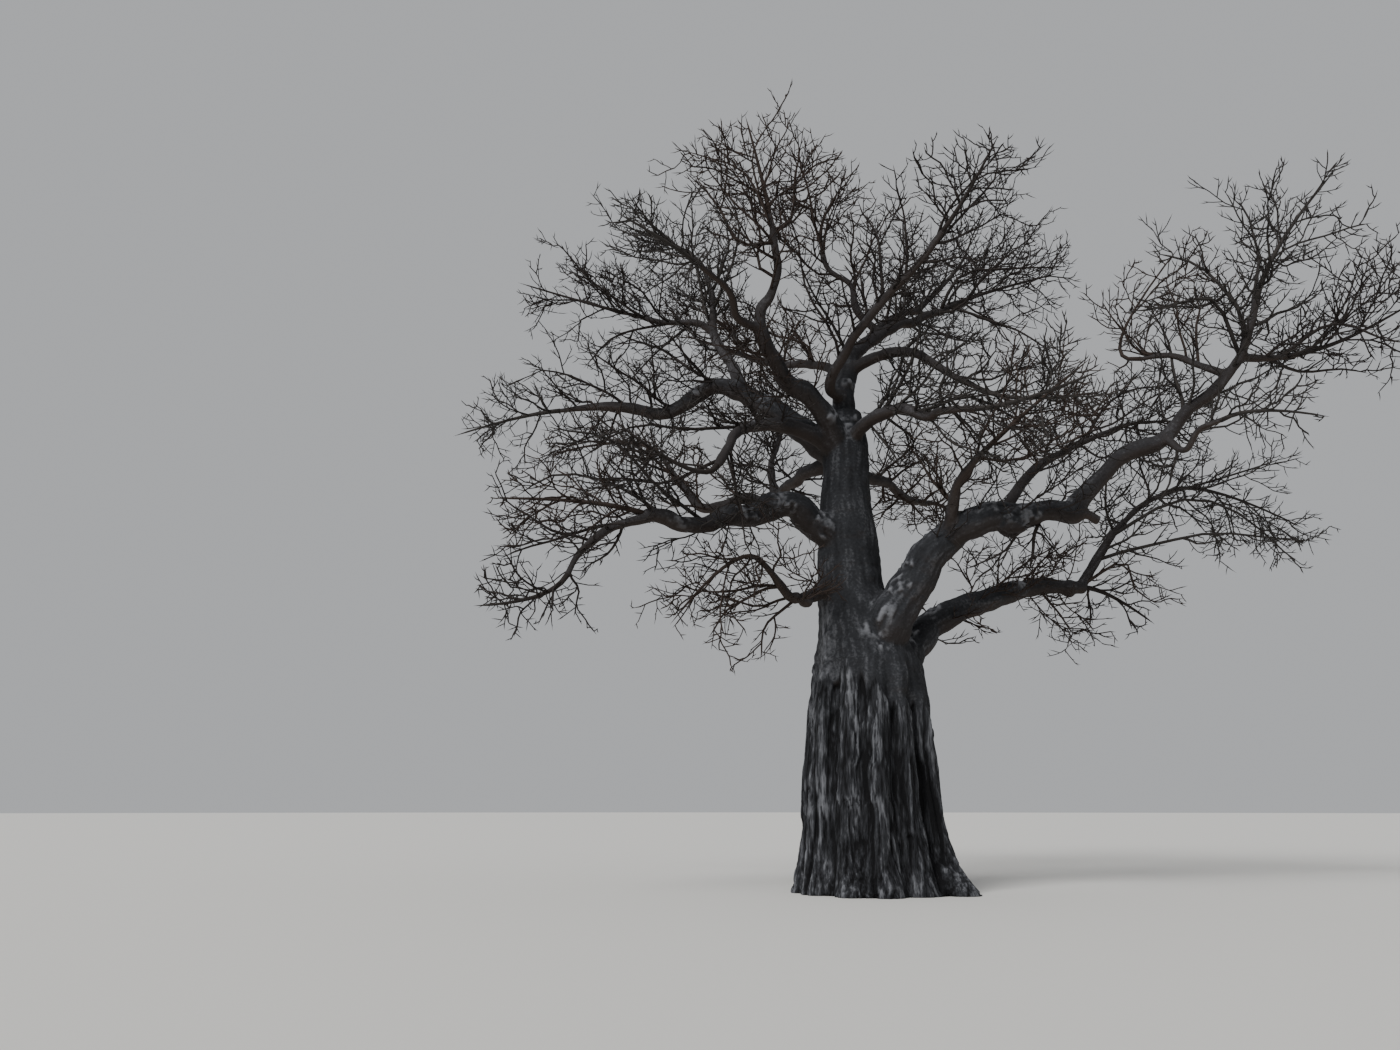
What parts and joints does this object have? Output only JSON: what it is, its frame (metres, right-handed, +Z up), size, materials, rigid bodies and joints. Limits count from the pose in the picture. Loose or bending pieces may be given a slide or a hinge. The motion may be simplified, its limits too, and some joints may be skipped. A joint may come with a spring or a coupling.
{
  "type": "bare baobab tree",
  "caption": "Leafless baobab: a stout fluted trunk that flares at the ground, forking low into heavy bent boughs and a wide, flat crown of bare twigs.",
  "frame": {"origin": "middle of the trunk's flat cut at ground level", "axes": "+Z up, +X along the crown's widest spread towards the two heavy low boughs, +Y away from the side first seen"},
  "size_m": [21.2897, 14.492, 17.58],
  "materials": {
    "trunk_bark": "rough, fluted grey bark",
    "limb_bark": "smoother grey-brown bark",
    "twig_bark": "thin dark bark"
  },
  "bodies": {
    "root": {"trunk": "trunk_bark", "right_main": "limb_bark", "right_low": "limb_bark", "left_low": "limb_bark", "left_mid": "limb_bark", "left_front": "limb_bark", "leader": "limb_bark", "left_elbow": "limb_bark", "left_small": "limb_bark", "cross_front": "limb_bark", "back_left": "limb_bark", "back_low": "limb_bark", "right_rise": "limb_bark", "right_end": "limb_bark", "right_in": "limb_bark", "right_under": "limb_bark", "right_back": "limb_bark", "right_inner": "limb_bark", "right_low_rise": "limb_bark", "left_low_out": "limb_bark", "left_low_fork": "limb_bark", "left_rise": "limb_bark", "left_rise_out": "limb_bark", "top": "limb_bark", "top_left": "limb_bark", "leader_right": "limb_bark", "crook": "limb_bark", "leader_low": "limb_bark", "front_high": "limb_bark", "back_mid": "limb_bark", "back_right": "limb_bark", "right_low_twigs": "twig_bark", "left_low_twigs": "twig_bark", "left_mid_twigs": "twig_bark", "left_elbow_twigs": "twig_bark", "left_small_twigs": "twig_bark", "cross_front_twigs": "twig_bark", "back_left_twigs": "twig_bark", "back_low_twigs": "twig_bark", "right_rise_twigs": "twig_bark", "right_end_twigs": "twig_bark", "right_in_twigs": "twig_bark", "right_under_twigs": "twig_bark", "right_back_twigs": "twig_bark", "right_inner_twigs": "twig_bark", "right_low_rise_twigs": "twig_bark", "left_low_out_twigs": "twig_bark", "left_low_fork_twigs": "twig_bark", "left_rise_twigs": "twig_bark", "left_rise_out_twigs": "twig_bark", "top_twigs": "twig_bark", "top_left_twigs": "twig_bark", "leader_right_twigs": "twig_bark", "crook_twigs": "twig_bark", "leader_low_twigs": "twig_bark", "front_high_twigs": "twig_bark", "back_mid_twigs": "twig_bark", "back_right_twigs": "twig_bark"}
  },
  "joints": []
}
